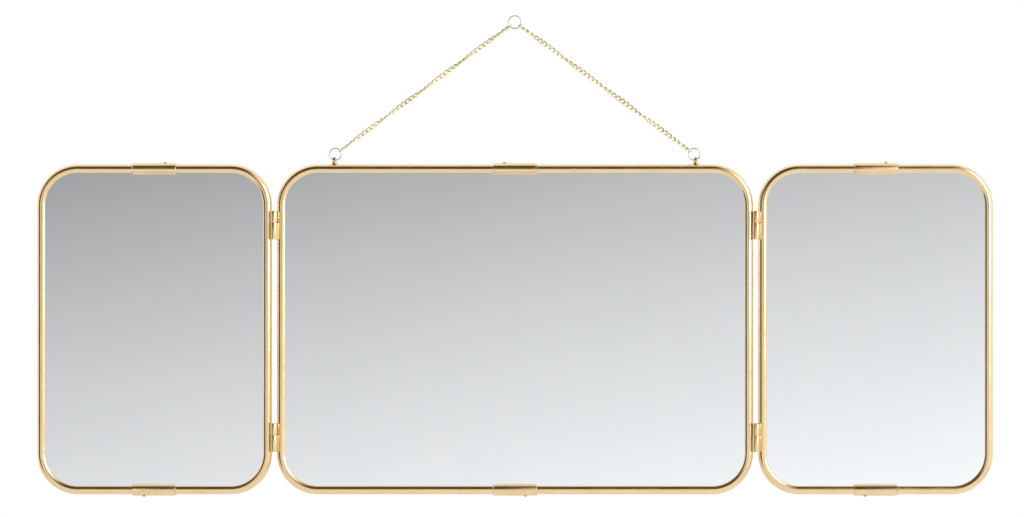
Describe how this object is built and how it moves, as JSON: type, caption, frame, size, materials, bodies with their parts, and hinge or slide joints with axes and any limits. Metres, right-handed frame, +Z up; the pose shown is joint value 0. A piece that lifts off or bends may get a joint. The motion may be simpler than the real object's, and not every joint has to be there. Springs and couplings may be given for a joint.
{
  "type": "triptych wall mirror",
  "caption": "Triptych wall mirror: a wide centre mirror with hinged wings, framed in bent brass tube and hung by a chain from a small ring.",
  "frame": {"origin": "the point inside the hanging ring, at its top, where a nail bears", "axes": "+X to the right seen from the front, +Y from the mirrors' face to the wall, +Z up"},
  "size_m": [0.7646, 0.0131, 0.3854],
  "materials": {
    "brass_tube": "polished, slightly toned",
    "brass_fittings": "polished",
    "brass_fasteners": "polished",
    "ring_wire": "polished",
    "chain_wire": "polished",
    "mirror_glass": "silvered on the back",
    "backing_board": "hardboard, smooth side out"
  },
  "bodies": {
    "hanging_ring": {"top_ring": "ring_wire"},
    "chain": {"chain_left": "chain_wire", "chain_right": "chain_wire", "side_ring_left": "ring_wire", "side_ring_right": "ring_wire"},
    "centre_panel": {"centre_frame_left": "brass_tube", "centre_frame_right": "brass_tube", "centre_sleeve_top": "brass_tube", "centre_sleeve_bottom": "brass_tube", "centre_sleeve_screws": "brass_fasteners", "centre_glass": "mirror_glass", "centre_backing": "backing_board", "eye_stud_left": "brass_fittings", "eye_stud_right": "brass_fittings", "left_upper_hinge_centre_leaf": "brass_fittings", "left_upper_hinge_pin": "brass_fasteners", "left_lower_hinge_centre_leaf": "brass_fittings", "left_lower_hinge_pin": "brass_fasteners", "right_upper_hinge_centre_leaf": "brass_fittings", "right_upper_hinge_pin": "brass_fasteners", "right_lower_hinge_centre_leaf": "brass_fittings", "right_lower_hinge_pin": "brass_fasteners"},
    "left_wing": {"left_wing_frame_left": "brass_tube", "left_wing_frame_right": "brass_tube", "left_wing_sleeve_top": "brass_tube", "left_wing_sleeve_bottom": "brass_tube", "left_wing_sleeve_screws": "brass_fasteners", "left_wing_glass": "mirror_glass", "left_wing_backing": "backing_board", "left_upper_hinge_wing_leaf": "brass_fittings", "left_lower_hinge_wing_leaf": "brass_fittings"},
    "right_wing": {"right_wing_frame_left": "brass_tube", "right_wing_frame_right": "brass_tube", "right_wing_sleeve_top": "brass_tube", "right_wing_sleeve_bottom": "brass_tube", "right_wing_sleeve_screws": "brass_fasteners", "right_wing_glass": "mirror_glass", "right_wing_backing": "backing_board", "right_upper_hinge_wing_leaf": "brass_fittings", "right_lower_hinge_wing_leaf": "brass_fittings"}
  },
  "joints": [
    {"name": "chain_swing", "type": "hinge", "parent": "hanging_ring", "child": "chain", "pos_m": [0, 0, -0.00739], "axis": [1, 0, 0], "range_deg": [-30, 30]},
    {"name": "panel_swing", "type": "hinge", "parent": "chain", "child": "centre_panel", "pos_m": [0, 0, -0.11454], "axis": [1, 0, 0], "range_deg": [-80, 80]},
    {"name": "left_wing_fold", "type": "hinge", "parent": "centre_panel", "child": "left_wing", "pos_m": [-0.1924, -0.0052, -0.25008], "axis": [0, 0, 1], "range_deg": [-30, 180]},
    {"name": "right_wing_fold", "type": "hinge", "parent": "centre_panel", "child": "right_wing", "pos_m": [0.1924, -0.0052, -0.25008], "axis": [0, 0, -1], "range_deg": [-30, 180]}
  ]
}
